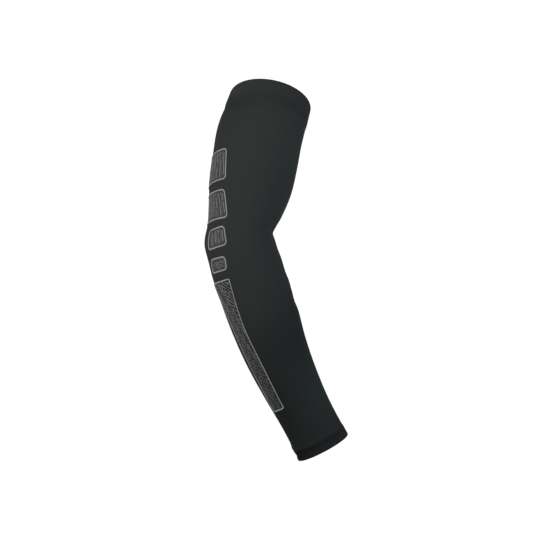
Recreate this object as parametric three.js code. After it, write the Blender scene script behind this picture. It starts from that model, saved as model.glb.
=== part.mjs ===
// Arm compression sleeve in its worn shape, bent a little at the elbow: a knitted tube, a doubled hem at
// each end, and raised printed panels down the back of the arm, four blocks above and one long bar on the
// forearm. Millimetres, +Z up. The origin is the centre of the upper opening, where the arm goes in. +X
// is to the front of the arm, on the side of the crook, and -Y is its outer side.
import * as THREE from "three";

// Sizes of the worn sleeve
const sleeveLength = 390; // along the arm's line, from edge to edge
const upperArmDepth = 91; // depths are front to back
const upperArmBreadth = 87; // breadths are side to side
const elbowDepth = 70;
const elbowBreadth = 76;
const forearmDepth = 75;
const forearmBreadth = 72;
const wristDepth = 58;
const wristBreadth = 46;

// Forms of the arm and of the cloth that show through the tube
const elbowPointRise = 4.9; // the bony point at the back
const elbowPointLength = 13.5;
const crookCreaseDepth = 1.2; // the crease opposite the point
const crookCreaseLength = 5;
const upperSeamGrip = 0.4; // how far the upper hem's seam draws in at the back
const upperGripLength = 4.5;
const wristRollRise = 0.9; // how far the cloth rolls out over the wrist hem's seam, at the back
const wristRollLength = 3;
const wristTuckDepth = 0.8; // how far the wrist hem tucks in below that
const wristTuckLength = 2.2;
const frontFoldRise = 0.9; // the shallow fold on the front of the forearm
const frontDipDepth = 1.1; // and the dip below it
const frontFoldLength = 8;
const upperEdgeRise = 9; // how much higher the upper edge sits on the outer side
const edgePeakAngle = 85; // where round the arm it is highest, in degrees
const edgeRiseFade = 3; // how fast that fades out down the sleeve, as a power of what is left of it

// Cloth and hems
const fabricWall = 1.2; // one layer of the knit
const hemStand = 0.5; // how far a doubled hem stands out from the single layer
const hemBellyPower = 4; // how late the hem's outer face turns down to its seam
const upperHemHeight = 20;
const wristHemHeight = 13;
const seamGap = 0.3; // between a hem and the tube, edge to edge

// Printed panels
const printThickness = 0.5;
const printClearance = 0.35; // between the print and the cloth that carries it
const blockCorner = 4; // radius of the blocks' corners
const barCorner = 2.4;
const cornerLimit = 0.45; // the most of a low panel's height that a corner takes

// How finely the curved faces are divided
const stepsAround = 40;
const tubeSteps = 50;
const elbowCrowding = 0.35; // how much closer than even the tube's rows lie at the elbow
const hemBellySteps = 4;
const hemEdgeSteps = 4;
const cornerSteps = 3;
const panelStepAngle = 8; // across a panel, in degrees
const panelRowLength = 8; // along a panel
const lineSteps = 400;

// The bend of the elbow, as a share of sleeveLength
const elbowPlace = 0.385;

// Sections square to the arm's line. along is a share of sleeveLength, lean is the angle from plumb
// towards the front and toward the angle out to the outer side, both in degrees and going down. forward
// is the share of the depth that lies in front of the line.
function section(along, lean, toward, depth, forward, breadth) {
  return { along, lean, toward, depth, forward, breadth };
}
const sections = [
  section(0.0, -12, 13, 0.955 * upperArmDepth, 0.504, 0.965 * upperArmBreadth),
  section(0.045, -14, 13, 0.98 * upperArmDepth, 0.491, 0.965 * upperArmBreadth),
  section(0.1, -13, 13, 1.004 * upperArmDepth, 0.479, 0.995 * upperArmBreadth),
  section(0.18, -10, 12, 0.995 * upperArmDepth, 0.488, upperArmBreadth),
  section(0.26, -8, 9, 0.949 * upperArmDepth, 0.482, 0.97 * upperArmBreadth),
  section(0.32, -8, 6, 0.845 * upperArmDepth, 0.459, 0.925 * upperArmBreadth),
  section(0.365, -4, 3, 0.985 * elbowDepth, 0.43, elbowBreadth),
  section(0.41, 4, 0, 1.008 * elbowDepth, 0.45, 0.975 * elbowBreadth),
  section(0.46, 12, -3, 1.002 * forearmDepth, 0.463, forearmBreadth),
  section(0.52, 16, -4, 0.995 * forearmDepth, 0.477, 1.01 * forearmBreadth),
  section(0.6, 18, -4, 0.995 * forearmDepth, 0.497, 0.985 * forearmBreadth),
  section(0.7, 21, -4, 0.92 * forearmDepth, 0.495, 0.89 * forearmBreadth),
  section(0.8, 25, -4, 0.837 * forearmDepth, 0.503, 0.78 * forearmBreadth),
  section(0.9, 28, -4, wristDepth, 0.505, 1.065 * wristBreadth),
  section(1.0, 28, -4, 1.016 * wristDepth, 0.496, 1.02 * wristBreadth),
];

// Local rises and dents, each a smooth bell. around is in degrees: 0 front, 90 outer side, 180 back. long
// is the bell's reach along the arm and wide its reach around it, in degrees.
const forms = [
  { along: 0.4, around: 180, rise: elbowPointRise, long: elbowPointLength, wide: 32 },
  { along: 0.372, around: 0, rise: -crookCreaseDepth, long: crookCreaseLength, wide: 45 },
  { along: 0.05, around: 180, rise: -upperSeamGrip, long: upperGripLength, wide: 60 },
  { along: 0.984, around: 180, rise: -wristTuckDepth, long: wristTuckLength, wide: 45 },
  { along: 0.961, around: 180, rise: wristRollRise, long: wristRollLength, wide: 45 },
  { along: 0.53, around: 0, rise: frontFoldRise, long: frontFoldLength, wide: 45 },
  { along: 0.59, around: 0, rise: -frontDipDepth, long: frontFoldLength, wide: 45 },
];

// Printed panels. top and bottom are shares of sleeveLength at the panel's front and back edges. Those
// edges run through angles around the arm, in degrees, at even steps from the panel's top to its bottom.
const panels = [
  {
    name: "print_block_1",
    top: { front: 0.185, back: 0.188 },
    bottom: { front: 0.263, back: 0.271 },
    frontEdge: [132, 126],
    backEdge: [196, 194],
    corner: blockCorner,
  },
  {
    name: "print_block_2",
    top: { front: 0.286, back: 0.294 },
    bottom: { front: 0.3535, back: 0.364 },
    frontEdge: [127.3, 118],
    backEdge: [192, 188],
    corner: blockCorner,
  },
  {
    name: "print_block_3",
    top: { front: 0.3685, back: 0.377 },
    bottom: { front: 0.41, back: 0.417 },
    frontEdge: [123.5, 118],
    backEdge: [157, 159],
    corner: blockCorner,
  },
  {
    name: "print_block_4",
    top: { front: 0.431, back: 0.433 },
    bottom: { front: 0.4615, back: 0.4645 },
    frontEdge: [123.4, 122.4],
    backEdge: [157, 161],
    corner: blockCorner,
  },
  {
    name: "print_bar",
    top: { front: 0.481, back: 0.486 },
    bottom: { front: 0.8465, back: 0.85 },
    frontEdge: [123.3, 125.8, 121, 122.1],
    backEdge: [178, 160, 155, 155, 160],
    corner: barCorner,
  },
];

const radians = THREE.MathUtils.degToRad;
const mix = THREE.MathUtils.lerp;

// A smooth curve through values at rising places: a cubic between each two, whose slope at a place is the
// weighted mean of the slopes on its two sides.
function curveThrough(places, values, place) {
  const last = places.length - 1;
  const rise = (i) => (values[i + 1] - values[i]) / (places[i + 1] - places[i]);
  const slope = (i) => {
    if (i === 0) return rise(0);
    if (i === last) return rise(last - 1);
    const before = places[i] - places[i - 1];
    const after = places[i + 1] - places[i];
    return (rise(i - 1) * after + rise(i) * before) / (before + after);
  };
  let i = 0;
  while (i < last - 1 && place >= places[i + 1]) i += 1;
  const run = places[i + 1] - places[i];
  const w = (place - places[i]) / run;
  return (
    (1 + 2 * w) * (1 - w) ** 2 * values[i] +
    w * (1 - w) ** 2 * run * slope(i) +
    w * w * (3 - 2 * w) * values[i + 1] +
    w * w * (w - 1) * run * slope(i + 1)
  );
}

// A column of the section table at a share of the length, held at its end values past both ends.
const sectionPlaces = sections.map((row) => row.along);
const sectionColumn = (name) => sections.map((row) => row[name]);
const sectionColumns = {
  lean: sectionColumn("lean"),
  toward: sectionColumn("toward"),
  depth: sectionColumn("depth"),
  forward: sectionColumn("forward"),
  breadth: sectionColumn("breadth"),
};
function sectionValue(column, share) {
  return curveThrough(sectionPlaces, sectionColumns[column], THREE.MathUtils.clamp(share, 0, 1));
}

// An edge of a printed panel: its angle around the arm at a share of the panel's height.
function edgeAngle(angles, share) {
  const places = angles.map((_, i) => i / (angles.length - 1));
  return curveThrough(places, angles, share);
}

// The three directions of a section: down the arm's line, to the front and to the outer side.
function sectionFrame(share) {
  const lean = radians(sectionValue("lean", share));
  const toward = radians(sectionValue("toward", share));
  const front = new THREE.Vector3(Math.cos(lean), 0, Math.sin(lean));
  const level = new THREE.Vector3(0, 1, 0);
  const plumb = new THREE.Vector3().crossVectors(front, level);
  return {
    down: plumb.clone().multiplyScalar(-Math.cos(toward)).addScaledVector(level, -Math.sin(toward)),
    front,
    outer: plumb.clone().multiplyScalar(Math.sin(toward)).addScaledVector(level, -Math.cos(toward)),
  };
}

// The arm's line, added up in short steps from the centre of the upper opening.
const armLine = [new THREE.Vector3()];
for (let i = 0; i < lineSteps; i += 1) {
  const step = sectionFrame((i + 0.5) / lineSteps).down.multiplyScalar(sleeveLength / lineSteps);
  armLine.push(armLine[i].clone().add(step));
}

// A point of the arm's line at a distance from its start, carried on straight past both ends.
function linePoint(distance) {
  const held = THREE.MathUtils.clamp(distance, 0, sleeveLength);
  const place = (held / sleeveLength) * lineSteps;
  const i = Math.min(Math.floor(place), lineSteps - 1);
  const point = armLine[i].clone().lerp(armLine[i + 1], place - i);
  return point.addScaledVector(sectionFrame(held / sleeveLength).down, distance - held);
}

// A bell-shaped form's height at a place on the sleeve.
function formHeight(form, distance, around) {
  const along = (distance - form.along * sleeveLength) / form.long;
  const turn = THREE.MathUtils.euclideanModulo(around - form.around + 180, 360) - 180;
  return form.rise * Math.exp(-along * along - (turn / form.wide) ** 2);
}

// A point of the sleeve: distance from the upper edge, angle around the arm in degrees, and height out
// from the cloth's outer face. Each section is a half ellipse in front of the line joined to another
// behind it.
function skinPoint(distance, around, height) {
  const angle = radians(around);
  const fade = (1 - THREE.MathUtils.clamp(distance / sleeveLength, 0, 1)) ** edgeRiseFade;
  const place = distance - upperEdgeRise * Math.cos(angle - radians(edgePeakAngle)) * fade;
  const share = place / sleeveLength;
  const { front, outer } = sectionFrame(share);
  const forward = sectionValue("forward", share);
  const reach = sectionValue("depth", share) * (Math.cos(angle) > 0 ? forward : 1 - forward);
  const side = sectionValue("breadth", share) / 2;
  const normal = new THREE.Vector2(Math.cos(angle) / reach, Math.sin(angle) / side).normalize();
  const out = forms.reduce((sum, form) => sum + formHeight(form, place, around), height);
  return linePoint(place)
    .addScaledVector(front, reach * Math.cos(angle) + normal.x * out)
    .addScaledVector(outer, side * Math.sin(angle) + normal.y * out);
}

// A closed surface through loops with equally many points. Joined loops run round a ring; otherwise the
// first and last loop are closed flat, between each loop's first half and its second.
function loft(loops, joined) {
  const size = loops[0].length;
  const index = [];
  const quad = (a, b, c, d) => index.push(a, b, c, a, c, d);
  const rows = joined ? loops.length : loops.length - 1;
  for (let i = 0; i < rows; i += 1) {
    const here = i * size;
    const next = ((i + 1) % loops.length) * size;
    for (let j = 0; j < size; j += 1) {
      const k = (j + 1) % size;
      quad(here + j, here + k, next + k, next + j);
    }
  }
  if (!joined) {
    const end = (loops.length - 1) * size;
    for (let j = 0; j < size / 2 - 1; j += 1) {
      quad(j, size - 1 - j, size - 2 - j, j + 1);
      quad(end + j, end + j + 1, end + size - 2 - j, end + size - 1 - j);
    }
  }
  const geometry = new THREE.BufferGeometry().setFromPoints(loops.flat());
  geometry.setIndex(index);
  geometry.computeVertexNormals();
  return geometry;
}

// A ring of cloth round the arm: its wall's outline, as places of distance and height, carried all the
// way round.
function clothRing(outline) {
  const angles = Array.from({ length: stepsAround }, (_, i) => (360 * i) / stepsAround);
  return loft(
    outline.map((place) => angles.map((around) => skinPoint(place.distance, around, place.height))),
    true,
  );
}

// Shares from 0 to 1 in steps that shrink towards the elbow.
function tubeShares() {
  const turn = 2 * Math.PI;
  const drift = (share) => (elbowCrowding / turn) * Math.sin(turn * (share - elbowPlace));
  return Array.from({ length: tubeSteps + 1 }, (_, i) => i / tubeSteps - drift(i / tubeSteps) + drift(0));
}

// The tube between the hems: down its outer face and back up its inner one.
function tubeOutline() {
  const start = upperHemHeight + seamGap;
  const end = sleeveLength - wristHemHeight - seamGap;
  const distances = tubeShares().map((share) => mix(start, end, share));
  return [
    ...distances.map((distance) => ({ distance, height: 0 })),
    ...distances.reverse().map((distance) => ({ distance, height: -fabricWall })),
  ];
}

// A hem's outline from its folded edge: a half round at the edge, a belly that stands proud of the tube,
// and a seam drawn down level with the tube's outer face.
function hemOutline(edge, towardsSeam, hemHeight) {
  const round = (fabricWall + hemStand) / 2;
  const middle = hemStand - round;
  const outline = [];
  for (let i = 0; i <= hemEdgeSteps; i += 1) {
    const turn = (Math.PI * i) / hemEdgeSteps;
    outline.push({ inward: round * (1 - Math.sin(turn)), height: middle - round * Math.cos(turn) });
  }
  for (let i = 1; i <= hemBellySteps; i += 1) {
    const share = i / hemBellySteps;
    outline.push({ inward: mix(round, hemHeight, share), height: hemStand * (1 - share ** hemBellyPower) });
  }
  outline.push({ inward: hemHeight, height: -fabricWall });
  const places = outline.map(({ inward, height }) => ({ distance: edge + towardsSeam * inward, height }));
  return towardsSeam > 0 ? places : places.reverse();
}

// A printed panel: loops across it, over its outer face and back under it, from its top edge to its
// bottom one.
function printedPanel(panel) {
  const height = (panel.bottom.front - panel.top.front) * sleeveLength;
  const corner = Math.min(panel.corner, cornerLimit * height);
  const cornerRows = Array.from({ length: cornerSteps + 1 }, (_, i) => {
    const turn = (Math.PI / 2) * (i / cornerSteps);
    return { inward: corner * (1 - Math.cos(turn)), inset: corner * (1 - Math.sin(turn)) };
  });
  const straight = height - 2 * corner;
  const plainRows = Math.ceil(straight / panelRowLength) - 1;
  const rows = [
    ...cornerRows,
    ...Array.from({ length: plainRows }, (_, i) => ({
      inward: corner + (straight * (i + 1)) / (plainRows + 1),
      inset: 0,
    })),
    ...cornerRows.map(({ inward, inset }) => ({ inward: height - inward, inset })).reverse(),
  ];
  const low = printClearance;
  const high = printClearance + printThickness;
  const widest = Math.max(...panel.backEdge) - Math.min(...panel.frontEdge);
  const steps = Math.ceil(widest / panelStepAngle);
  const loops = rows.map(({ inward, inset }) => {
    const share = inward / height;
    const middle = mix(panel.top.front, panel.bottom.front, share);
    const radius = (sectionValue("depth", middle) + sectionValue("breadth", middle)) / 4;
    const insetAngle = THREE.MathUtils.radToDeg(inset / radius);
    const frontEdge = edgeAngle(panel.frontEdge, share);
    const backEdge = edgeAngle(panel.backEdge, share);
    const across = Array.from({ length: steps + 1 }, (_, i) => {
      const around = mix(frontEdge + insetAngle, backEdge - insetAngle, i / steps);
      const back = (around - frontEdge) / (backEdge - frontEdge);
      const top = mix(panel.top.front, panel.top.back, back);
      const bottom = mix(panel.bottom.front, panel.bottom.back, back);
      return { distance: mix(top, bottom, share) * sleeveLength, around };
    });
    const outside = across.map(({ distance, around }) => skinPoint(distance, around, high));
    const inside = across.map(({ distance, around }) => skinPoint(distance, around, low));
    return [...outside, ...inside.reverse()];
  });
  return loft(loops, false);
}

// Finishes
const knit = { color: 0x1d2020, roughness: 0.85, metalness: 0 };
const hemKnit = { color: 0x1a1c1c, roughness: 0.88, metalness: 0 };
const ink = { color: 0x6f7270, roughness: 0.6, metalness: 0 };

function piece(name, geometry, finish) {
  const mesh = new THREE.Mesh(geometry, new THREE.MeshStandardMaterial(finish));
  mesh.name = name;
  return mesh;
}

const sleeve = new THREE.Group();
sleeve.add(piece("sleeve_tube", clothRing(tubeOutline()), knit));
sleeve.add(piece("upper_hem", clothRing(hemOutline(0, 1, upperHemHeight)), hemKnit));
sleeve.add(piece("wrist_hem", clothRing(hemOutline(sleeveLength, -1, wristHemHeight)), hemKnit));
for (const panel of panels) {
  sleeve.add(piece(panel.name, printedPanel(panel), ink));
}

export default sleeve;
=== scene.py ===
# %% [markdown]
# # An arm compression sleeve
# The sleeve is a long knitted tube that a runner or a basketball player pulls over the arm. It is shown
# in its worn shape, a little bent at the elbow, with nothing inside. Two doubled hems close its ends, and
# a row of printed panels runs down the back of the arm: four blocks above and over the elbow, and one
# long bar on the forearm.
#
# The solid model gives the pieces, their sizes and their places. Here each piece gets its fine surface,
# its finish and its light. The model is loaded first, because every new piece stands for one of its
# nodes and rides on its one body.

# %% Load the solid model
import math

import bpy
import numpy as np
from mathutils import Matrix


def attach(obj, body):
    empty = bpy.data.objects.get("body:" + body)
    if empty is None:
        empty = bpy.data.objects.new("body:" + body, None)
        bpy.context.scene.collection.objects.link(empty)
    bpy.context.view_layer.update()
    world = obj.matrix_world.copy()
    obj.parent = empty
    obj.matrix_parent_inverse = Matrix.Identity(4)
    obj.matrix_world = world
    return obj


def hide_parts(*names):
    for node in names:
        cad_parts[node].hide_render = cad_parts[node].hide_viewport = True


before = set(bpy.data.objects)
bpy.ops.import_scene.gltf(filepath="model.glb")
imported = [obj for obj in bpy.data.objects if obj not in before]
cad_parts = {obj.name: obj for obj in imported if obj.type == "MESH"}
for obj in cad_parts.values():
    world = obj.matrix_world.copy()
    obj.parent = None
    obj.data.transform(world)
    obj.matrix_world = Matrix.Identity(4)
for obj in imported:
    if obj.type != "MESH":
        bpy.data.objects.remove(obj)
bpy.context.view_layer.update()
MM = 0.001
print("nodes:", sorted(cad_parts))

# %% [markdown]
# ## The arm inside the sleeve
# A compression sleeve has no shape of its own. What shows is the arm: the upper arm's full round, the
# hollow of the crook, the point of the elbow, and a forearm that narrows to a flat wrist. So the whole
# surface is one function of two parameters, the distance down the arm and the angle around it, and every
# piece, from hem to printed line, is worked out on it. A sculpted mesh could look the same, but a print
# laid on a function needs no projecting.
#
# The tables below hold the same sections and forms as the solid model, and two shallow forms more. Each
# section's row gives where it lies, how the arm's line leans there, and its size as a share of a named
# one. Each form is a bell on the skin: a bump, a fold or a dip.

# %% Sizes of the worn sleeve
SLEEVE_LENGTH = 390 * MM
UPPER_ARM_DEPTH, UPPER_ARM_BREADTH = 91 * MM, 87 * MM
ELBOW_DEPTH, ELBOW_BREADTH = 70 * MM, 76 * MM
FOREARM_DEPTH, FOREARM_BREADTH = 75 * MM, 72 * MM
WRIST_DEPTH, WRIST_BREADTH = 58 * MM, 46 * MM
UPPER_EDGE_RISE = 9 * MM
EDGE_RISE_PEAK = 85  # where round the arm the upper edge is highest, in degrees
EDGE_RISE_FADE = 3
FABRIC_WALL = 1.2 * MM
HEM_STAND = 0.5 * MM
UPPER_HEM_HEIGHT = 20 * MM
WRIST_HEM_HEIGHT = 13 * MM
SEAM_GAP = 0.3 * MM

# along, lean and toward in degrees, depth, share of the depth in front of the line, breadth
SECTIONS = np.array([
    (0.000, -12, 13, 0.955 * UPPER_ARM_DEPTH, 0.504, 0.965 * UPPER_ARM_BREADTH),
    (0.045, -14, 13, 0.980 * UPPER_ARM_DEPTH, 0.491, 0.965 * UPPER_ARM_BREADTH),
    (0.100, -13, 13, 1.004 * UPPER_ARM_DEPTH, 0.479, 0.995 * UPPER_ARM_BREADTH),
    (0.180, -10, 12, 0.995 * UPPER_ARM_DEPTH, 0.488, 1.000 * UPPER_ARM_BREADTH),
    (0.260, -8, 9, 0.949 * UPPER_ARM_DEPTH, 0.482, 0.970 * UPPER_ARM_BREADTH),
    (0.320, -8, 6, 0.845 * UPPER_ARM_DEPTH, 0.459, 0.925 * UPPER_ARM_BREADTH),
    (0.365, -4, 3, 0.985 * ELBOW_DEPTH, 0.430, 1.000 * ELBOW_BREADTH),
    (0.410, 4, 0, 1.008 * ELBOW_DEPTH, 0.450, 0.975 * ELBOW_BREADTH),
    (0.460, 12, -3, 1.002 * FOREARM_DEPTH, 0.463, 1.000 * FOREARM_BREADTH),
    (0.520, 16, -4, 0.995 * FOREARM_DEPTH, 0.477, 1.010 * FOREARM_BREADTH),
    (0.600, 18, -4, 0.995 * FOREARM_DEPTH, 0.497, 0.985 * FOREARM_BREADTH),
    (0.700, 21, -4, 0.920 * FOREARM_DEPTH, 0.495, 0.890 * FOREARM_BREADTH),
    (0.800, 25, -4, 0.837 * FOREARM_DEPTH, 0.503, 0.780 * FOREARM_BREADTH),
    (0.900, 28, -4, 1.000 * WRIST_DEPTH, 0.505, 1.065 * WRIST_BREADTH),
    (1.000, 28, -4, 1.016 * WRIST_DEPTH, 0.496, 1.020 * WRIST_BREADTH),
])
ALONG, LEAN, TOWARD, DEPTH, FORWARD, BREADTH = SECTIONS.T

# along, degrees around (0 front, 90 outer side, 180 back), rise, reach along, reach around in degrees
FORMS = [
    (0.400, 180, 4.9 * MM, 13.5 * MM, 32),  # the point of the elbow
    (0.372, 0, -1.2 * MM, 5 * MM, 45),  # the crease in the crook
    (0.050, 180, -0.4 * MM, 4.5 * MM, 60),  # the upper hem's seam draws in
    (0.984, 180, -0.8 * MM, 2.2 * MM, 45),  # the wrist hem tucks in above its edge
    (0.961, 180, 0.9 * MM, 3 * MM, 45),  # and the cloth rolls out over its seam
    (0.530, 0, 0.9 * MM, 8 * MM, 45),  # a shallow fold on the front of the forearm, and the dip below it
    (0.590, 0, -1.1 * MM, 8 * MM, 45),
    (0.970, 90, 0.5 * MM, 3 * MM, 60),  # only here: the wrist seam's roll on the outer side
    (0.063, 140, -0.5 * MM, 4 * MM, 45),  # only here: the cloth drawn in below the upper seam
]
print(len(SECTIONS), "sections and", len(FORMS), "local forms")


# %% Smooth curves through a column of the table
def curve_through(places, values, place):
    """A cubic between each two values: at each place its slope is the mean of the slopes on both sides,
    each weighted by the width of the other side's step."""
    places, values = np.asarray(places, float), np.asarray(values, float)
    steps = np.diff(places)
    rises = np.diff(values) / steps
    slopes = np.concatenate([rises[:1], values[1:-1], rises[-1:]])
    slopes[1:-1] = (rises[:-1] * steps[1:] + rises[1:] * steps[:-1]) / (steps[:-1] + steps[1:])
    left = np.clip(np.searchsorted(places, place, side="right") - 1, 0, len(steps) - 1)
    step = steps[left]
    w = (place - places[left]) / step
    start = (1 + 2 * w) * (1 - w) ** 2 * values[left] + w * (1 - w) ** 2 * step * slopes[left]
    end = w * w * (3 - 2 * w) * values[left + 1] + w * w * (w - 1) * step * slopes[left + 1]
    return start + end


def section_value(column, share):
    """A column of the section table at a share of the length, held past both ends."""
    return curve_through(ALONG, column, np.clip(share, 0, 1))


# %% The arm's line
LINE_STEPS = 400


def section_frame(share):
    """Three unit directions of a section. With lean l and toward t, down is (sin l cos t, -sin t,
    -cos l cos t), front is (cos l, 0, sin l) and outer is (-sin l sin t, -cos t, cos l sin t)."""
    lean = np.radians(section_value(LEAN, share))
    toward = np.radians(section_value(TOWARD, share))
    down = np.stack([np.sin(lean) * np.cos(toward), -np.sin(toward), -np.cos(lean) * np.cos(toward)], -1)
    front = np.stack([np.cos(lean), 0 * lean, np.sin(lean)], -1)
    outer = np.stack([-np.sin(lean) * np.sin(toward), -np.cos(toward), np.cos(lean) * np.sin(toward)], -1)
    return down, front, outer


half_steps = (np.arange(LINE_STEPS) + 0.5) / LINE_STEPS
line_steps = section_frame(half_steps)[0] * SLEEVE_LENGTH / LINE_STEPS
LINE_SHARES = np.linspace(0, 1, LINE_STEPS + 1)
ARM_LINE = np.vstack([np.zeros(3), np.cumsum(line_steps, 0)])


def line_point(distance):
    """The line's point at a distance from the upper opening, carried on straight past both ends."""
    share = distance / SLEEVE_LENGTH
    point = np.stack([np.interp(share, LINE_SHARES, ARM_LINE[:, axis]) for axis in range(3)], -1)
    past = distance - np.clip(distance, 0, SLEEVE_LENGTH)
    return point + past[..., None] * section_frame(share)[0]


print("wrist end of the line in mm:", np.round(ARM_LINE[-1] / MM, 1))


# %% The skin: a function of distance and angle
def bell(distance, around, form):
    """One local form: its rise times exp(-(x / reach)^2), along the arm and around it."""
    along, centre, rise, reach, wide = form
    turn = (around - centre + 180) % 360 - 180
    return rise * np.exp(-(((distance - along * SLEEVE_LENGTH) / reach) ** 2) - (turn / wide) ** 2)


def skin(distance, around, height=0.0):
    """A point of the sleeve, from its distance down the arm, its angle around in degrees and its height
    out from the cloth's face. Each section is half an ellipse in front of the line, joined to another
    half behind it. The upper edge is cut higher on the outer side, and that fades out down the sleeve."""
    distance, around, height = np.broadcast_arrays(distance, around, height)
    angle = np.radians(around)
    fade = (1 - np.clip(distance / SLEEVE_LENGTH, 0, 1)) ** EDGE_RISE_FADE
    place = distance - UPPER_EDGE_RISE * np.cos(angle - math.radians(EDGE_RISE_PEAK)) * fade
    share = place / SLEEVE_LENGTH
    front, outer = section_frame(share)[1:]
    forward = section_value(FORWARD, share)
    reach = section_value(DEPTH, share) * np.where(np.cos(angle) > 0, forward, 1 - forward)
    side = section_value(BREADTH, share) / 2
    normal_front, normal_outer = np.cos(angle) / reach, np.sin(angle) / side
    size = np.hypot(normal_front, normal_outer)
    out = height + sum(bell(place, around, form) for form in FORMS)
    to_front = reach * np.cos(angle) + normal_front / size * out
    to_outer = side * np.sin(angle) + normal_outer / size * out
    return line_point(place) + front * to_front[..., None] + outer * to_outer[..., None]


def mean_radius(distance):
    """The section's mean radius at a distance: a quarter of its depth and breadth together."""
    share = distance / SLEEVE_LENGTH
    return (section_value(DEPTH, share) + section_value(BREADTH, share)) / 4


edge = skin(np.zeros(4), np.array([0.0, 90.0, 180.0, 270.0]))
print("upper edge, front, outer, back and inner, in mm:", np.round(edge / MM, 1).tolist())

# %% [markdown]
# ## The camera
# The photograph looks at the sleeve level and square from its outer side, with little perspective. A
# camera 1.35 m away gives that, and its lens follows from the sleeve's size in the picture: one pixel is
# 1.05 mm at the elbow. An orthographic camera would nearly do, but the far side of the upper edge would
# then sit too high.

# %% Camera at the photograph's angle
PICTURE = 550
PIXEL = 1.05 * MM
CAMERA_DISTANCE = 1.35
OPENING_PIXEL = (270.0, 102.0)
SENSOR = 36.0
elbow_y = float(line_point(np.array([0.4 * SLEEVE_LENGTH]))[0, 1])
pixel_at_opening = PIXEL * (CAMERA_DISTANCE - elbow_y) / CAMERA_DISTANCE

camera_data = bpy.data.cameras.new("camera")
camera_data.sensor_width = SENSOR
camera_data.lens = SENSOR * CAMERA_DISTANCE / (PICTURE * PIXEL)
camera_data.clip_start, camera_data.clip_end = 0.05, 50
camera = bpy.data.objects.new("camera", camera_data)
camera.location = (
    (PICTURE / 2 - OPENING_PIXEL[0]) * pixel_at_opening,
    elbow_y - CAMERA_DISTANCE,
    (OPENING_PIXEL[1] - PICTURE / 2) * pixel_at_opening,
)
camera.rotation_euler = (math.radians(90), 0, 0)
bpy.context.scene.collection.objects.link(camera)
bpy.context.scene.camera = camera
print("lens in mm:", round(camera_data.lens, 1), "at", [round(value, 3) for value in camera.location])

# %% [markdown]
# ## From arrays to meshes
# Every piece below is a grid of points: a wall's outline carried round the arm, or a rib's outline
# carried along a line. One function numbers such a grid's faces, joining the last column to the first
# where the piece is a ring, and the last row to the first where its outline is closed. Another puts
# points and faces into a mesh, with the piece's own map, in which a knit keeps its scale however the
# surface bends.


# %% A mesh from a grid of points
def grid_faces(rows, columns, ring=False, loop=False):
    """Corner numbers of a grid's quads. With rows going down and columns going round, they face out."""
    down = np.arange(rows if loop else rows - 1)
    across = np.arange(columns if ring else columns - 1)
    i, j = np.meshgrid(down, across, indexing="ij")
    k, m = (i + 1) % rows, (j + 1) % columns
    corners = [i * columns + j, i * columns + m, k * columns + m, k * columns + j]
    return np.stack([corner.ravel() for corner in corners], -1)


def new_object(name, points, faces, maps=None):
    """A smooth object from points and quads. maps holds a (u, v) for each corner of each quad."""
    mesh = bpy.data.meshes.new(name)
    mesh.from_pydata(points.reshape(-1, 3).tolist(), [], faces.tolist())
    mesh.shade_smooth()
    if maps is not None:
        layer = mesh.uv_layers.new(name="Cloth")
        layer.data.foreach_set("uv", maps.astype(np.float32).ravel())
    made = bpy.data.objects.new(name, mesh)
    bpy.context.scene.collection.objects.link(made)
    print(name, "has", len(mesh.polygons), "faces")
    return made


# %% [markdown]
# ## Painted light and shade on the cloth
# Each ring of cloth keeps a factor on its black at its points, worked out from bells like those of the
# skin. It is painted light and shade: a painted highlight on each seam's ridge, painted shade in the wrist
# seam's groove and under the upper seam, painted shade on the back of the arm, and painted light on the
# full of the forearm and the front of the lower forearm. A painted map would do the same, but a bell is
# only five numbers. They were chosen by comparing renders with the photograph, so what they give, above
# all on the lower forearm, is the photograph's own light and shade.

# %% Painted light and shade on the cloth
WRIST_RIDGE, WRIST_GROOVE = 0.9650, 0.9730

# along, degrees around, painted light added (painted shade below zero), reach along, reach around in degrees
PAINTED_LIGHT_BELLS = [
    (0.060, 110, -0.07, 9 * MM, 70),  # painted shade under the upper seam, where the cloth is drawn in
    (0.066, 150, -0.16, 6 * MM, 38),  # more painted shade towards the back
    (0.045, 120, 0.07, 1.2 * MM, 50),  # a painted highlight on the ridge that the seam raises on the hem
    (0.105, 148, -0.18, 24 * MM, 42),  # painted shade on the back of the upper arm, just below it
    (0.600, 110, 0.09, 45 * MM, 65),  # painted light on the full of the forearm
    (0.430, 160, -0.06, 40 * MM, 50),  # painted shade behind the elbow
    (0.870, 158, -0.36, 55 * MM, 48),  # painted shade on the lower forearm's back
    (0.860, 30, 0.48, 50 * MM, 48),  # painted light on its front
    (WRIST_RIDGE, 90, 0.42, 1.6 * MM, 300),  # a painted highlight on the ridge over the wrist seam
    (WRIST_GROOVE, 90, -0.26, 2.6 * MM, 300),  # painted shade in the groove of the seam itself
    (0.985, 160, -0.45, 7 * MM, 48),  # painted shade on the hem's back corner
]


def painted_light_factor(distance, around):
    """Painted light and shade at a place, as a factor that is 1 elsewhere: a sum of the bells in the table.
    """
    return 1 + sum(bell(distance, around, form) for form in PAINTED_LIGHT_BELLS)


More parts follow.
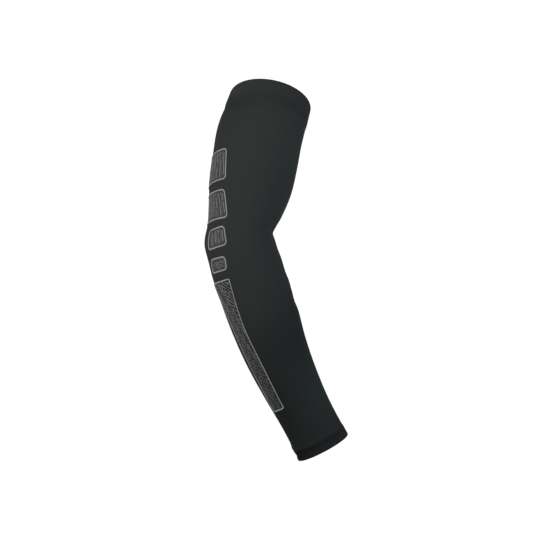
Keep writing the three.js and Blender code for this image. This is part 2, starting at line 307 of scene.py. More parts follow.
def cloth_ring(name, distances, heights, columns):
    """A closed ring of cloth: its wall's outline, as distances and heights, carried round the arm. Its
    map is the share around the arm, from 0 to 1, and the distance down it in metres. Its painted light
    and shade is kept at its points."""
    around = np.arange(columns) * 360 / columns
    points = skin(distances[:, None], around[None], heights.reshape(len(distances), -1))
    faces = grid_faces(len(distances), columns, ring=True, loop=True)
    row, column = faces // columns, faces % columns
    last = column.max(1, keepdims=True) == columns - 1
    shares = np.where((column == 0) & last, 1.0, column / columns)
    made = new_object(name, points, faces, np.stack([shares, distances[row]], -1))
    # the painted light and shade at each point, as a factor on the cloth's black
    painted_light = made.data.attributes.new("PaintedLight", "FLOAT", "POINT")
    painted_light.data.foreach_set("value", painted_light_factor(distances[:, None], around[None]).astype(np.float32).ravel())
    return made


# the painted highlight on the wrist seam's ridge and the painted shade in its groove
wrist_painted_light = painted_light_factor(np.array([WRIST_RIDGE, WRIST_GROOVE]) * SLEEVE_LENGTH, 90)
print("tones of the wrist seam's ridge and groove:", np.round(wrist_painted_light, 2).tolist())

# %% [markdown]
# ## The knit
# The sleeve is knitted from polyamide and elastane yarn, round and round on a circular machine, and dyed
# black. Its face is a fine jersey: upright columns of loops, called wales, crossed by rows, called
# courses. Its yarns catch a broad faint sheen but no sharp highlight. Its black is painted darker down the
# sleeve, a painted shade for light that falls off towards the wrist, so the upper arm is greyer than the
# wrist, and the valleys between the loops get painted shade and their tops painted light. An image could
# carry the loops. Worked out from sines they stay crisp at any distance, and they follow the tube's own
# map, so the wales run down the arm and crowd together at the wrist, as they do on a real sleeve.


# %% Colours and nodes
def linear(code):
    """An sRGB hex colour as linear red, green, blue and alpha."""
    parts = np.array([int(code[i:i + 2], 16) for i in (1, 3, 5)]) / 255
    curved = np.where(parts <= 0.04045, parts / 12.92, ((parts + 0.055) / 1.055) ** 2.4)
    return (*(float(value) for value in curved), 1.0)


def new_material(name, **values):
    """A material whose Principled shader has these plain values, written with _ for a space."""
    material = bpy.data.materials.new(name)
    material.use_nodes = True
    shader = material.node_tree.nodes["Principled BSDF"]
    for socket, value in values.items():
        shader.inputs[socket.replace("_", " ")].default_value = value
    return material


def value_of(given):
    """A socket's plain value, with a numpy number turned into one of Python's."""
    return given.item() if isinstance(given, np.generic) else given


def add_node(material, kind, inputs, **settings):
    """Adds a node with its settings. Each input gets a plain value, or a link from another output."""
    made = material.node_tree.nodes.new(kind)
    for name, value in settings.items():
        setattr(made, name, value)
    for socket, given in inputs.items():
        if isinstance(given, bpy.types.NodeSocket):
            material.node_tree.links.new(given, made.inputs[socket])
        else:
            made.inputs[socket].default_value = value_of(given)
    return made.outputs


print("stretched black in linear light:", [round(value, 4) for value in linear("#252a2b")])

# %% Size of the loops
WALE_WIDTH = 0.75 * MM  # at the upper arm, where the cloth is stretched
COURSE_HEIGHT = 0.60 * MM
LEG_CLIMB = 0.55  # courses that a loop's leg climbs from its wale's edge to its middle
COURSE_DIP, LEG_HEIGHT = 0.3, 0.7  # a leg's height is the second, give or take the first
WALES = round(math.pi * (UPPER_ARM_DEPTH + UPPER_ARM_BREADTH) / 2 / WALE_WIDTH)
print(WALES, "wales round the sleeve")


# %% The loops' height
def jersey(material):
    """The knit's height, and the distance down the sleeve. With w from 0 at the middle of a wale to 1 at
    its edges and y in courses, a leg stands 1 - w^2 high, and each course dips it by a sine of y + climb
    times w, so the loops make a V."""
    place = add_node(material, "ShaderNodeUVMap", {}, uv_map="Cloth")[0]
    split = add_node(material, "ShaderNodeSeparateXYZ", {0: place})
    wales = add_node(material, "ShaderNodeMath", {0: split[0], 1: float(WALES)}, operation="MULTIPLY")[0]
    # ping-pong at 0.5 runs 0, 0.5, 0 across a wale; the doubled share from the edge is then turned round
    folded = add_node(material, "ShaderNodeMath", {0: wales, 1: 0.5}, operation="PINGPONG")[0]
    from_edge = add_node(material, "ShaderNodeMath", {0: folded, 1: 2.0}, operation="MULTIPLY")[0]
    w = add_node(material, "ShaderNodeMath", {0: 1.0, 1: from_edge}, operation="SUBTRACT")[0]
    courses = add_node(
        material, "ShaderNodeMath", {0: split[1], 1: 2 * math.pi / COURSE_HEIGHT}, operation="MULTIPLY"
    )[0]
    turn = add_node(
        material, "ShaderNodeMath", {0: w, 1: 2 * math.pi * LEG_CLIMB, 2: courses}, operation="MULTIPLY_ADD"
    )[0]
    ripple = add_node(material, "ShaderNodeMath", {0: turn}, operation="SINE")[0]
    dip = add_node(
        material, "ShaderNodeMath", {0: ripple, 1: COURSE_DIP, 2: LEG_HEIGHT}, operation="MULTIPLY_ADD"
    )[0]
    square = add_node(material, "ShaderNodeMath", {0: w, 1: w}, operation="MULTIPLY")[0]
    leg = add_node(material, "ShaderNodeMath", {0: 1.0, 1: square}, operation="SUBTRACT")[0]
    return add_node(material, "ShaderNodeMath", {0: leg, 1: dip}, operation="MULTIPLY")[0], split[1]


# %% Black jersey
CLOUD_SCALE, CLOUD_SHARE = 17.0, 0.3  # soft clouds of about 60 mm, where the dye took unevenly
VALLEY_SHADE, CREST_SHADE = 0.6, 1.15  # of the black: painted shade between the loops and painted light on top of them


def black_jersey(name, well_lit, shaded, shade_ends, roughness, loop_depth):
    """Dyed polyamide jersey. Its black runs from the well-lit black to the shaded one between two distances
    down the sleeve, a painted shade that darkens it towards the wrist, and is multiplied by the painted
    light and shade kept at the cloth's points. The valleys between the loops get painted shade and their
    tops painted light, and the loops stand up as a bump."""
    material = new_material(
        name,
        Roughness=roughness,
        IOR=1.53,  # polyamide
        Specular_IOR_Level=0.03,  # the loops hide nearly all of each yarn's gloss
    )
    shader = material.node_tree.nodes["Principled BSDF"]
    height, down = jersey(material)
    # painted shade: between the two distances the black darkens towards the wrist
    share = add_node(
        material, "ShaderNodeMapRange",
        {0: down, 1: shade_ends[0], 2: shade_ends[1]}, interpolation_type="SMOOTHSTEP",
    )[0]
    where = add_node(material, "ShaderNodeTexCoord", {})["Object"]
    cloud = add_node(
        material, "ShaderNodeTexNoise", {"Vector": where, "Scale": CLOUD_SCALE, "Detail": 2.0}
    )[0]
    cloudy = add_node(
        material, "ShaderNodeMath", {0: cloud, 1: CLOUD_SHARE, 2: share}, operation="MULTIPLY_ADD"
    )[0]
    black = add_node(
        material, "ShaderNodeMix",
        {0: cloudy, 6: linear(well_lit), 7: linear(shaded)}, data_type="RGBA",
    )[2]
    # painted shade in the valleys between the loops and painted light on their tops
    loops = add_node(material, "ShaderNodeMapRange", {0: height, 3: VALLEY_SHADE, 4: CREST_SHADE})[0]
    # the painted light and shade kept at the cloth's points
    painted_light = add_node(material, "ShaderNodeAttribute", {}, attribute_name="PaintedLight")["Fac"]
    shade = add_node(material, "ShaderNodeMath", {0: loops, 1: painted_light}, operation="MULTIPLY")[0]
    colour = add_node(
        material, "ShaderNodeMix",
        {0: 1.0, 6: black, 7: shade}, data_type="RGBA", blend_type="MULTIPLY",
    )[2]
    bump = add_node(
        material, "ShaderNodeBump", {"Strength": 0.5, "Distance": loop_depth, "Height": height}
    )[0]
    material.node_tree.links.new(colour, shader.inputs["Base Color"])
    material.node_tree.links.new(bump, shader.inputs["Normal"])
    return material


# each second black is the first one with painted shade, for the light that falls off towards the wrist
tube_knit = black_jersey("black_jersey", "#252a2b", "#171c1d", (0.14, 0.31), 0.88, 0.12 * MM)
hem_knit = black_jersey("doubled_jersey", "#25292b", "#161a1c", (0.02, 0.36), 0.90, 0.14 * MM)
print("materials:", tube_knit.name, hem_knit.name)

# %% [markdown]
# ## The tube
# The tube is one layer of cloth, 1.2 mm thick with its loops, knitted round with no seam down the arm.
# It is open at both ends. The outline of its wall goes down the outer face and back up the inner one,
# and is carried once round the arm, so the sleeve is really hollow. A Solidify modifier on a single
# surface would do it too, but an outline lets the lining, which hardly shows, have fewer rows.

# %% Build the tube
TUBE_ROWS, TUBE_COLUMNS, LINING_ROWS = 240, 180, 80  # rows down the face and back up the lining
tube_start = UPPER_HEM_HEIGHT + SEAM_GAP
tube_end = SLEEVE_LENGTH - WRIST_HEM_HEIGHT - SEAM_GAP
face_rows = np.linspace(tube_start, tube_end, TUBE_ROWS)
lining_rows = np.linspace(tube_end, tube_start, LINING_ROWS)
wall_distances = np.concatenate([face_rows, lining_rows])
wall_heights = np.concatenate([np.zeros(TUBE_ROWS), np.full(LINING_ROWS, -FABRIC_WALL)])
tube = cloth_ring("knitted_tube", wall_distances, wall_heights, TUBE_COLUMNS)
tube.data.materials.append(tube_knit)
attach(tube, "root")
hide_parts("sleeve_tube")

# %% [markdown]
# ## The hems
# At each end the cloth is folded back on itself and sewn down flat, so a hem is thicker, stands half a
# millimetre proud, and has a soft round fold as its edge. The stitching pulls its other edge down into a
# shallow groove. The outline below is that: a half round for the fold, a small bead behind it where the
# layers turn, a flat belly, and the drop to the seam.

# %% Outline of a hem
FOLD_STEPS, BELLY_STEPS = 10, 44
BEAD_RISE, BEAD_PLACE, BEAD_REACH = 0.18 * MM, 1.8 * MM, 0.9 * MM
BELLY_POWER = 4
BELLY_START = 2 * MM  # how far behind the fold the belly's own shape begins
LIP = 0.5 * MM  # how far the hem's lower edge laps over the tube
LIP_HEIGHT, LIP_BASE = 0.1 * MM, 0.02 * MM  # its face and its underside, above the tube's face


def belly_height(inward, hem_height):
    """Height of a hem's face above the tube's: the stand, less (share of the hem)^4 of it towards the
    seam, where the lip's height is left, plus a bell-shaped bead behind the fold."""
    share = inward / (hem_height + LIP)
    bead = BEAD_RISE * np.exp(-(((inward - BEAD_PLACE) / BEAD_REACH) ** 2))
    return (HEM_STAND - LIP_HEIGHT) * (1 - share ** BELLY_POWER) + LIP_HEIGHT + bead


def hem_outline(hem_height):
    """A hem's wall from the inside of its fold to the seam: places inward from the edge, and heights."""
    round_off = (FABRIC_WALL + HEM_STAND) / 2
    turn = np.linspace(0, math.pi, FOLD_STEPS)
    fold_in = round_off * (1 - np.sin(turn))
    fold_height = HEM_STAND - round_off - round_off * np.cos(turn)
    belly = np.linspace(round_off, hem_height + LIP, BELLY_STEPS)[1:]
    blend_in = np.clip((belly - round_off) / BELLY_START, 0, 1)
    inward = np.concatenate([fold_in, belly, [hem_height + LIP, hem_height, hem_height]])
    belly_heights = HEM_STAND + (belly_height(belly, hem_height) - HEM_STAND) * blend_in
    under = [LIP_BASE, LIP_BASE, -FABRIC_WALL]
    return inward, np.concatenate([fold_height, belly_heights, under])


# %% Build the hems
HEM_COLUMNS = 240
upper_in, upper_heights = hem_outline(UPPER_HEM_HEIGHT)
upper_hem = cloth_ring("upper_fold", upper_in, upper_heights, HEM_COLUMNS)
wrist_in, wrist_heights = hem_outline(WRIST_HEM_HEIGHT)
wrist_hem = cloth_ring(
    "wrist_fold", SLEEVE_LENGTH - wrist_in[::-1], wrist_heights[::-1], HEM_COLUMNS
)
for hem, node in ((upper_hem, "upper_hem"), (wrist_hem, "wrist_hem")):
    hem.data.materials.append(hem_knit)
    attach(hem, "root")
    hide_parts(node)

# %% [markdown]
# ## The stitching
# A stretch hem is sewn with a coverstitch: two parallel needle rows on the outside. The thread is as
# black as the cloth, so the rows hardly show. Each stitch is a short round of thread that dips into the
# knit at both ends. There are hundreds, so each is one tiny capsule of a few dozen faces, and a row of
# them is one array. Bevelled curves could make them too, but an array follows the skin by itself.

# %% Thread
STITCH_LENGTH, STITCH_STEP = 2.1 * MM, 2.8 * MM
STITCH_RINGS, THREAD_SIDES = 6, 6
THREAD_RADIUS = 0.24 * MM
THREAD_LIFT, THREAD_SINK = 0.6, 0.1 * MM  # a stitch stands the first in radii over the cloth, less the second
THREAD_TIP = 0.02  # the square of a stitch's radius at its ends, as a share of its middle's
TWIST_SCALE = 2500.0  # a twist of about 0.4 mm
thread = new_material(
    "polyester_thread",
    Base_Color=linear("#101213"),
    Roughness=0.8,
    IOR=1.57,  # polyester
    Specular_IOR_Level=0.05,
)
where = add_node(thread, "ShaderNodeTexCoord", {})["Object"]
twist = add_node(
    thread, "ShaderNodeTexNoise", {"Vector": where, "Scale": TWIST_SCALE, "Detail": 1.0}
)[0]
twist_bump = add_node(thread, "ShaderNodeBump", {"Strength": 0.3, "Distance": 0.05 * MM, "Height": twist})[0]
thread.node_tree.links.new(twist_bump, thread.node_tree.nodes["Principled BSDF"].inputs["Normal"])


def stitch_row(distance, height):
    """Points of a row of capsules round the arm. Each is a circle of thread carried along the row, whose
    radius and height follow the root of a half sine, so that it dips into the cloth at both ends."""
    count = round(2 * math.pi * float(mean_radius(distance)) / STITCH_STEP)
    share = np.linspace(0, 1, STITCH_RINGS)[None, :, None]
    turn = np.linspace(0, 2 * math.pi, THREAD_SIDES, endpoint=False)[None, None]
    centre = (np.arange(count) * 360 / count)[:, None, None]
    span = 360 / count * STITCH_LENGTH / STITCH_STEP
    swell = np.sqrt(np.clip(np.sin(math.pi * share), THREAD_TIP, 1))
    around = centre + (share - 0.5) * span + 0 * turn
    place = distance + THREAD_RADIUS * swell * np.cos(turn) + 0 * centre
    lift = height + THREAD_RADIUS * swell * (THREAD_LIFT + np.sin(turn)) - THREAD_SINK + 0 * centre
    return skin(place, around, lift)


def stitches(name, rows):
    """All the capsules of several rows in one mesh. Two quads close each end of a capsule."""
    points = np.concatenate([stitch_row(distance, height) for distance, height in rows])
    first_cap = np.array([[0, 3, 2, 1], [0, 5, 4, 3]])
    last_cap = first_cap[:, [0, 3, 2, 1]] + (STITCH_RINGS - 1) * THREAD_SIDES
    faces = np.concatenate([grid_faces(STITCH_RINGS, THREAD_SIDES, ring=True), first_cap, last_cap])
    offsets = np.arange(len(points))[:, None, None] * STITCH_RINGS * THREAD_SIDES
    return new_object(name, points, (faces[None] + offsets).reshape(-1, 4))


# %% Sew both hems
NEEDLE_ROWS = (2.2 * MM, 5.2 * MM)  # up from the seam
upper_rows = [
    (UPPER_HEM_HEIGHT - up, float(belly_height(UPPER_HEM_HEIGHT - up, UPPER_HEM_HEIGHT)))
    for up in NEEDLE_ROWS
]
wrist_rows = [
    (SLEEVE_LENGTH - WRIST_HEM_HEIGHT + up, float(belly_height(WRIST_HEM_HEIGHT - up, WRIST_HEM_HEIGHT)))
    for up in NEEDLE_ROWS
]
sewing = [stitches("upper_stitches", upper_rows), stitches("wrist_stitches", wrist_rows)]
for row in sewing:
    row.data.materials.append(thread)
    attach(row, "root")

# %% [markdown]
# ## The printed panels
# The panels are raised rubber ink, screen printed on the knit: a thin dark film with a pale grey outline
# and finer grey lines on it. On the real sleeve they grip and guard the back of the arm. A picture mapped
# on the cloth would give the colours, but not the low relief that catches the light at the outline, so
# every line is a small rib of its own. The lines are plain patterns. On the three upper blocks upright
# strokes swell and neck, and neighbours swing against each other, meet and part. On the fourth block and
# the bar two families of slanting lines cross in a mesh.
#
# A panel has its own two parameters, both from 0 to 1: s from its front edge to its back one, and t from
# its top to its bottom. Lines are drawn in them and then carried to the skin.

# %% The panels' places
# top and bottom: shares of the length at the front and back edge. front and back: those edges' angles
# around the arm at even steps from top to bottom.
PANELS = {
    "print_block_1": {"top": (0.185, 0.188), "bottom": (0.263, 0.271), "front": (132, 126),
                      "back": (196, 194)},
    "print_block_2": {"top": (0.286, 0.294), "bottom": (0.3535, 0.364), "front": (127.3, 118),
                      "back": (192, 188)},
    "print_block_3": {"top": (0.3685, 0.377), "bottom": (0.41, 0.417), "front": (123.5, 118),
                      "back": (157, 159)},
    "print_block_4": {"top": (0.431, 0.433), "bottom": (0.4615, 0.4645), "front": (123.4, 122.4),
                      "back": (157, 161)},
    "print_bar": {"top": (0.481, 0.486), "bottom": (0.8465, 0.85), "front": (123.3, 125.8, 121, 122.1),
                  "back": (178, 160, 155, 155, 160)},
}


def edge_angle(angles, t):
    """An edge's angle at a share of the panel's height: a smooth curve through its even steps."""
    return curve_through(np.linspace(0, 1, len(angles)), angles, t)


def on_sleeve(panel, s, t):
    """Distance down the arm and angle around it of the place s, t on a panel, by mixing its edges."""
    front, back = edge_angle(panel["front"], t), edge_angle(panel["back"], t)
    top = panel["top"][0] + (panel["top"][1] - panel["top"][0]) * s
    bottom = panel["bottom"][0] + (panel["bottom"][1] - panel["bottom"][0]) * s
    return (top + (bottom - top) * t) * SLEEVE_LENGTH, front + (back - front) * s


def panel_width(panel, t):
    """Width across the panel at t: its angle in radians times the arm's mean radius there."""
    span = np.radians(edge_angle(panel["back"], t) - edge_angle(panel["front"], t))
    return span * mean_radius(on_sleeve(panel, 0.5, t)[0])


def panel_height(panel):
    """Height of the panel down its front edge."""
    return (panel["bottom"][0] - panel["top"][0]) * SLEEVE_LENGTH


for name, panel in PANELS.items():
    size = panel_width(panel, np.array([0.5]))[0], panel_height(panel)
    print(name, "is", [round(value / MM, 1) for value in size], "mm")

# %% The dark film
CORNER, BAR_CORNER = 4 * MM, 2.4 * MM
CORNER_LIMIT = 0.45
CORNER_STEPS = 9
FILM_BASE, FILM_TOP = 0.04 * MM, 0.26 * MM
FILM_COLUMNS, FILM_ROW = 28, 3 * MM
FEWEST_ROWS = 3


def corner_radius(panel):
    """The corners' radius: smaller on the bar, and less than half of a low panel's height."""
    radius = BAR_CORNER if panel is PANELS["print_bar"] else CORNER
    return min(radius, CORNER_LIMIT * panel_height(panel))


def film(panel):
    """Points and faces of a film. Its rows run from top to bottom, and in the rounded corners each is
    shorter by r (1 - sin a), where it lies r (1 - cos a) inwards. Its columns go over and back under."""
    radius, height = corner_radius(panel), panel_height(panel)
    turn = np.linspace(0, math.pi / 2, CORNER_STEPS)
    inward, inset = radius * (1 - np.cos(turn)), radius * (1 - np.sin(turn))
    plain = np.linspace(radius, height - radius, max(FEWEST_ROWS, round(height / FILM_ROW)))[1:-1]
    down = np.concatenate([inward, plain, height - inward[::-1]]) / height
    narrow = np.concatenate([inset, 0 * plain, inset[::-1]]) / panel_width(panel, down)
    s = narrow[:, None] + (1 - 2 * narrow[:, None]) * np.linspace(0, 1, FILM_COLUMNS)
    s, t = np.hstack([s, s[:, ::-1]]), np.repeat(down[:, None], 2 * FILM_COLUMNS, 1)
    lift = np.repeat([[FILM_TOP] * FILM_COLUMNS + [FILM_BASE] * FILM_COLUMNS], len(down), 0)
    faces = grid_faces(len(down), 2 * FILM_COLUMNS, ring=True)
    j = np.arange(FILM_COLUMNS - 1)
    far = 2 * FILM_COLUMNS - 1 - j
    end = (len(down) - 1) * 2 * FILM_COLUMNS
    caps = [np.stack([j, far, far - 1, j + 1], -1), np.stack([j, j + 1, far - 1, far], -1) + end]
    return skin(*on_sleeve(panel, s, t), lift), np.concatenate([faces, *caps])


# %% Ribs of ink along a path
RIB_ACROSS = np.array([-1.0, -0.8, -0.35, 0.35, 0.8, 1.0])  # in half widths
RIB_LIFT = np.array([0.0, 0.62, 1.0, 1.0, 0.62, 0.0])  # in shares of the rib's height
RIB_BASE = 0.2 * MM


def ribs(panel, s, t, width, rise, closed):
    """Points and faces of ribs along paths, one path a row of s and t. A rib's outline is a low mound,
    set off square to the path within the cloth's face, with its foot sunk in the film."""
    wide, high = panel_width(panel, t), panel_height(panel)
    x, y = s * wide, t * high
    if closed:
        step_x = (np.roll(x, -1, -1) - np.roll(x, 1, -1)) / 2
        step_y = (np.roll(y, -1, -1) - np.roll(y, 1, -1)) / 2
    else:
        step_x, step_y = np.gradient(x, axis=-1), np.gradient(y, axis=-1)
    size = np.hypot(step_x, step_y)
    off = RIB_ACROSS[None, :, None] * (width / 2)[:, None]
    across_s = s[:, None] - off * (step_y / size / wide)[:, None]
    across_t = t[:, None] + off * (step_x / size / high)[:, None]
    lift = RIB_BASE + RIB_LIFT[None, :, None] * rise[:, None]
    points = skin(*on_sleeve(panel, across_s, across_t), lift)
    rows, columns = len(RIB_ACROSS), s.shape[-1]
    faces = grid_faces(rows, columns, ring=closed, loop=True)
    offsets = np.arange(len(s))[:, None, None] * rows * columns
    return points, (faces[None] + offsets).reshape(-1, 4)


# %% The outline
OUTLINE_WIDTH, OUTLINE_RISE = 1.35 * MM, 0.42 * MM
BAR_OUTLINE_SHARE = 0.66  # of that width along the bar's long sides
BAR_OUTLINE_FADE = 0.06  # of the bar's height, from the full width at its ends to that share of it
OUTLINE_STEP, OUTLINE_COLUMNS = 2 * MM, 24


def outline(panel):
    """The path just inside the panel's edge, as s and t: four sides joined by quarter circles. Each
    place is a corner of the panel plus a distance in metres from it. The top and the bottom are spaced
    by their own widths, because a panel can be wider at one end."""
    inset, high = OUTLINE_WIDTH / 2, panel_height(panel)
    radius = corner_radius(panel) - inset
    turn = np.linspace(0, math.pi / 2, CORNER_STEPS)
    near, far = inset + radius * (1 - np.cos(turn)), inset + radius * (1 - np.sin(turn))
    top_wide, bottom_wide = panel_width(panel, np.array([0.0, 1.0]))
    rows = max(FEWEST_ROWS, round(high / OUTLINE_STEP))
    down = np.linspace(inset + radius, high - inset - radius, rows)[1:-1]
    over = np.linspace(inset + radius, bottom_wide - inset - radius, OUTLINE_COLUMNS)[1:-1]
    back_over = np.linspace(top_wide - inset - radius, inset + radius, OUTLINE_COLUMNS)[1:-1]
    # anticlockwise from the front edge's top: down the front, along the bottom, up the back, along the top
    corner_s = np.concatenate([0 * down, 0 * turn, 0 * over, 1 + 0 * turn, 1 + 0 * down, 1 + 0 * turn,
                               0 * over, 0 * turn])
    in_x = np.concatenate([inset + 0 * down, near, over, -far, -inset + 0 * down, -near, back_over, far])
    corner_t = np.concatenate([0 * down, 1 + 0 * turn, 1 + 0 * over, 1 + 0 * turn, 0 * down, 0 * turn,
                               0 * over, 0 * turn])
    in_y = np.concatenate([down, -far, -inset + 0 * over, -near, down[::-1], far, inset + 0 * over, near])
    t = corner_t + in_y / high
    return (corner_s + in_x / panel_width(panel, t))[None], t[None]


# %% Upright strokes on the upper blocks
LINE_MARGIN = 2.2 * MM
LINE_RISE = 0.2 * MM
LINE_TIP = 0.08  # the square of a line's width at its tips, as a share of its full one
THIN_SHARE = 0.5  # every second upright line is this much thinner
STROKE_POINTS, STROKE_TAPER = 64, 14  # a stroke is at its full width after 1/14 of its length
SWING, SWING_LENGTH, SWING_DRIFT = 0.13, 34 * MM, 0.09  # the first in spacings, the last in turns
NECK_WIDTH, NECK_SLOPE, NECK_DRIFT = 0.35, 3, 0.37  # the last in half turns from line to line


def upright_strokes(panel, spacing, thickness, strokes):
    """Lines from top to bottom, evenly apart, every second one thin. Line k swings by a sine of t whose
    phase is turned half round from its neighbour's, so dark lenses open between them. The absolute value
    of a slower sine draws each line in to a neck, at other places than its neighbours', so that it swells
    as often on its way as strokes says. Near the corners the lines are shorter."""
    wide, high = float(panel_width(panel, np.array([0.5]))[0]), panel_height(panel)
    margin = LINE_MARGIN / wide
    count = round((wide - 2 * LINE_MARGIN) / spacing)
    k = np.arange(count)[:, None]
    from_side = np.minimum(k + 0.5, count - k - 0.5) * spacing
    into_corner = np.clip(corner_radius(panel) - from_side, 0, None)
    short = LINE_MARGIN + into_corner * 0.5
    run = np.linspace(0, 1, STROKE_POINTS)[None]
    t = (short + (high - 2 * short) * run) / high
    phase = 0.5 * (k % 2) + SWING_DRIFT * k
    swing = SWING * np.sin(2 * math.pi * (high / SWING_LENGTH * t + phase))
    s = margin + (1 - 2 * margin) * (k + 0.5 + swing) / count
    ends = np.clip(np.minimum(run, 1 - run) * STROKE_TAPER, LINE_TIP, 1) ** 0.5
    slow_sine = np.sin(math.pi * (strokes * t + NECK_DRIFT * k))
    necks = np.clip(np.abs(slow_sine) * NECK_SLOPE, NECK_WIDTH, 1)
    thin = np.where(k % 2, THIN_SHARE, 1)
    return s, t, thickness * thin * ends * necks, LINE_RISE * ends * necks


# %% A slanting mesh on the fourth block and the bar
BAR_MARGIN = 1.0 * MM  # on the bar the lines run nearly to the outline
CUT_MARGIN = 0.6 * MM  # room for the waves at the panel's ends
SHORTEST_CUT = 0.08  # of a line's whole length
MESH_POINTS, MESH_TAPER = 34, 30
WAVES_ACROSS, WAVE_DRIFT = 2.2, 0.11  # turns along a line, and from line to line
THIN_DOWN = 0.6  # the power of t with which the width changes down the panel
PATCH_MEAN, PATCH_RISE, PATCH_LEAST = 0.8, 0.65, 0.12  # of the width
PATCHES_ACROSS, PATCH_DRIFT = 2.6, 0.38  # the quick sine's turns along a line, and from line to line
SLOW_ACROSS, SLOW_DRIFT = 5, 1.9  # the slow sine's radians, likewise


def slanting_lines(panel, fall, spacing, thickness, wave, inset=LINE_MARGIN):
    """Lines from the front edge to the back one, evenly apart down the panel, each falling by the same
    amount with a sine on it whose height is wave and whose phase drifts from line to line. A negative
    fall climbs. Lines that pass an end are cut there, and what is too short is left out. The width goes
    from the first of thickness at the top to the second at the bottom as t^0.6. The product of a quick
    sine along the line and a slow one from line to line makes it patchy. inset is the room that is left
    inside the panel's edge."""
    wide, high = float(panel_width(panel, np.array([0.5]))[0]), panel_height(panel)
    margin = inset / wide
    starts = np.arange(inset - max(fall, 0), high - inset - min(fall, 0), spacing)
    ends = (inset + CUT_MARGIN - starts) / fall, (high - inset - CUT_MARGIN - starts) / fall
    first = np.clip(np.minimum(*ends), 0, 1)
    last = np.clip(np.maximum(*ends), 0, 1)
    kept = last - first > SHORTEST_CUT
    starts, first, last = starts[kept, None], first[kept, None], last[kept, None]
    k = np.arange(len(starts))[:, None]
    part = np.linspace(0, 1, MESH_POINTS)[None]
    run = first + (last - first) * part
    waves = wave * np.sin(2 * math.pi * (WAVES_ACROSS * run + WAVE_DRIFT * k))
    t = (starts + fall * run + waves) / high
    s = margin + (1 - 2 * margin) * run
    taper = np.clip(np.minimum(part, 1 - part) * MESH_TAPER, LINE_TIP, 1) ** 0.5
    width = thickness[0] + (thickness[1] - thickness[0]) * np.clip(t, 0, 1) ** THIN_DOWN
    quick = np.sin(2 * math.pi * (PATCHES_ACROSS * run + PATCH_DRIFT * k))
    slow = np.sin(SLOW_DRIFT * k + SLOW_ACROSS * run)
    patchy = np.clip(PATCH_MEAN + PATCH_RISE * quick * slow, PATCH_LEAST, None)
    return s, t, width * taper * patchy, LINE_RISE * taper + 0 * t


# %% [markdown]
# ## Rubber ink
# Screen printed silicone dries to a smooth, slightly waxy surface. It is one grey ink, and how thick it
# lies sets its tone. The blocks' film lets the black knit show through as a dark grey, and the bar's,
# thinner still, as nearly black, so the mesh on it stands out. The fine lines are a mid grey, and the
# outline, laid on thickest, is the palest. All get a fine uneven grain, because ink on a knit settles
# into the loops.


# %% Film, line and outline inks
GRAIN_SCALE, BLOTCH_SCALE = 1200.0, 90.0  # a grain of about 0.8 mm, and blotches of about 11 mm
LEAST_INK, MOST_INK = 0.12, 0.4  # of the two noises' product, where the darker and the paler grey are full


def rubber_ink(name, pale, dark, roughness, gloss, grain):
    """Silicone ink: two close greys mixed by the product of two noises, a fine one and a broad one, and a
    bump of the fine grain."""
    material = new_material(name, Roughness=roughness, IOR=1.43, Specular_IOR_Level=gloss)
    shader = material.node_tree.nodes["Principled BSDF"]
    where = add_node(material, "ShaderNodeTexCoord", {})["Object"]
    noise = add_node(
        material, "ShaderNodeTexNoise", {"Vector": where, "Scale": GRAIN_SCALE, "Detail": 3.0}
    )[0]
    blotches = add_node(
        material, "ShaderNodeTexNoise", {"Vector": where, "Scale": BLOTCH_SCALE, "Detail": 2.0}
    )[0]
    share = add_node(material, "ShaderNodeMath", {0: noise, 1: blotches}, operation="MULTIPLY")[0]
    spread = add_node(material, "ShaderNodeMapRange", {0: share, 1: LEAST_INK, 2: MOST_INK})[0]
    colour = add_node(
        material, "ShaderNodeMix", {0: spread, 6: linear(dark), 7: linear(pale)}, data_type="RGBA"
    )[2]
    bump = add_node(material, "ShaderNodeBump", {"Strength": 0.5, "Distance": grain, "Height": noise})[0]
    material.node_tree.links.new(colour, shader.inputs["Base Color"])
    material.node_tree.links.new(bump, shader.inputs["Normal"])
    return material


film_ink = rubber_ink("dark_silicone_film", "#2a2e30", "#222627", 0.65, 0.1, 0.05 * MM)
sheer_ink = rubber_ink("sheer_silicone_film", "#111414", "#0d0f10", 0.65, 0.1, 0.05 * MM)
line_ink = rubber_ink("thin_grey_silicone", "#52585a", "#454b4d", 0.6, 0.2, 0.04 * MM)
frame_ink = rubber_ink("grey_silicone_ink", "#6c7275", "#5e6467", 0.6, 0.25, 0.04 * MM)
print("inks:", film_ink.name, sheer_ink.name, line_ink.name, frame_ink.name)

# %% The lines on each panel
# The real bar's mesh seems to be about a millimetre from line to line, as fine as the photograph's grain.
# Here its two families are 4.2 and 2.3 mm apart, because a finer mesh runs together into a flat grey.
block_1, block_2, block_3, block_4, bar = PANELS.values()
PATTERNS = {
    "print_block_1": [upright_strokes(block_1, 2.5 * MM, 1.25 * MM, 1.1)],
    "print_block_2": [upright_strokes(block_2, 2.4 * MM, 1.35 * MM, 2.3)],
    "print_block_3": [upright_strokes(block_3, 2.3 * MM, 1.65 * MM, 0.6)],
    "print_block_4": [
        slanting_lines(block_4, 8 * MM, 2.3 * MM, (0.8 * MM, 0.8 * MM), 0.6 * MM),
        slanting_lines(block_4, -7 * MM, 3.1 * MM, (0.4 * MM, 0.4 * MM), 0.6 * MM),
    ],
    "print_bar": [
        slanting_lines(bar, -22 * MM, 4.2 * MM, (1.05 * MM, 0.35 * MM), 0.8 * MM, BAR_MARGIN),
        slanting_lines(bar, 5 * MM, 2.3 * MM, (0.8 * MM, 0.14 * MM), 0.4 * MM, BAR_MARGIN),
    ],
}
for name, patterns in PATTERNS.items():
    print(name, "has", sum(len(lines[0]) for lines in patterns), "lines")


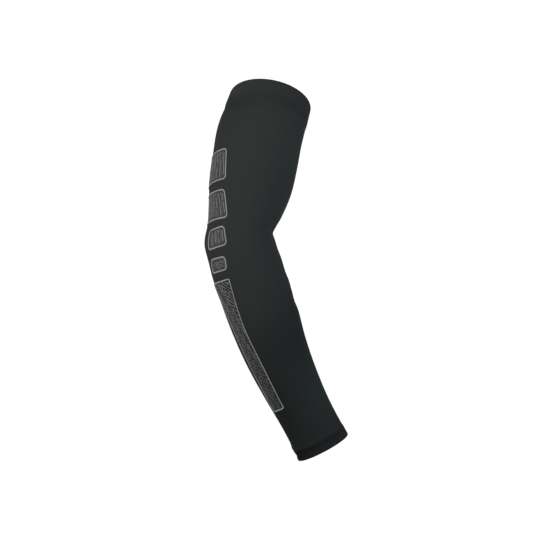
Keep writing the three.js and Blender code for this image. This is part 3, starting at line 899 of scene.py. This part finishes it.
# %% Print the panels
def joined(parts):
    """Several parts' points and faces as one mesh's, where each part's corner numbers are moved past the
    points before it, and the number of faces in each part."""
    points = [part_points.reshape(-1, 3) for part_points, part_faces in parts]
    starts = np.cumsum([0] + [len(part_points) for part_points in points[:-1]])
    faces = [part_faces + start for (part_points, part_faces), start in zip(parts, starts)]
    return np.concatenate(points), np.concatenate(faces), [len(part_faces) for part_faces in faces]


for name, panel in PANELS.items():
    path_s, path_t = outline(panel)
    slim = BAR_OUTLINE_SHARE if panel is bar else 1.0
    from_end = np.clip(np.minimum(path_t, 1 - path_t) / BAR_OUTLINE_FADE, 0, 1)
    frame_width = OUTLINE_WIDTH * (1 + (slim - 1) * from_end)
    points, faces, face_counts = joined([
        film(panel),
        ribs(panel, path_s, path_t, frame_width, OUTLINE_RISE + 0 * path_t, closed=True),
        *(ribs(panel, *lines, closed=False) for lines in PATTERNS[name]),
    ])
    piece = new_object(name.replace("print", "raised"), points, faces)
    inks = (sheer_ink if panel is bar else film_ink, frame_ink, line_ink)
    for ink in inks:
        piece.data.materials.append(ink)
    slots = np.repeat(np.arange(len(face_counts)).clip(0, len(inks) - 1), face_counts)
    piece.data.polygons.foreach_set("material_index", slots.astype(np.int32))
    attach(piece, "root")
    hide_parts(name)

# %% [markdown]
# ## A sheet of cloth
# The sleeve is knitted smaller than the arm, and the arm stretches it. Empty and laid flat, such a sleeve
# is about 12 cm across at the top and 7 cm at the wrist. Opened out, its cloth would be a tapering strip
# 240 mm wide at the upper arm, 140 mm at the wrist and 345 mm long. Worn, it is about a quarter larger,
# nearly all of that around the arm.

# %% [markdown]
# ## Floor and light
# The photograph is a product shot on pure white, with a broad soft light from the upper left and no
# shadow in view. A pale floor far below the sleeve and a white surrounding give the same ground. The
# light comes from that surrounding, one large warm panel in front on the upper left, and a weaker cool
# one on the right, so the cloth turns from a neutral black to a faintly blue one.

# %% Floor
FLOOR_DEPTH = -0.60
FLOOR_REACH = 12.0
corners = np.array([(-1, -1, 0), (1, -1, 0), (1, 1, 0), (-1, 1, 0)]) * FLOOR_REACH
corners[:, 2] = FLOOR_DEPTH
floor = new_object("studio_floor", corners, np.array([[0, 1, 2, 3]]))
paper = new_material("white_paper", Base_Color=linear("#f8f8f8"), Roughness=0.9, Specular_IOR_Level=0.1)
floor.data.materials.append(paper)


# %% Surrounding and panels
ROOM_LIGHT = 1.08


def soft_panel(name, place, target, width, height, power, colour):
    """An area light at a place, turned towards a target."""
    data = bpy.data.lights.new(name, "AREA")
    data.shape, data.size, data.size_y = "RECTANGLE", width, height
    data.energy, data.color = power, linear(colour)[:3]
    made = bpy.data.objects.new(name, data)
    way = np.array(target) - np.array(place)
    made.location = place
    pitch = math.atan2(math.hypot(way[0], way[1]), -way[2])
    made.rotation_euler = (pitch, 0, math.atan2(-way[0], way[1]))
    bpy.context.scene.collection.objects.link(made)
    return made


world = bpy.data.worlds.new("white_room")
world.use_nodes = True
world.node_tree.nodes["Background"].inputs["Color"].default_value = linear("#ffffff")
world.node_tree.nodes["Background"].inputs["Strength"].default_value = ROOM_LIGHT
bpy.context.scene.world = world
bpy.context.scene.view_settings.view_transform = "Standard"
soft_panel("key_panel", (-0.6, -0.95, 0.72), (0, 0, -0.1), 1.2, 1.2, 21, "#ffe4cc")
soft_panel("cool_panel", (1.2, -0.8, 0.2), (0, 0, -0.15), 0.8, 1.2, 1.6, "#bcdcff")
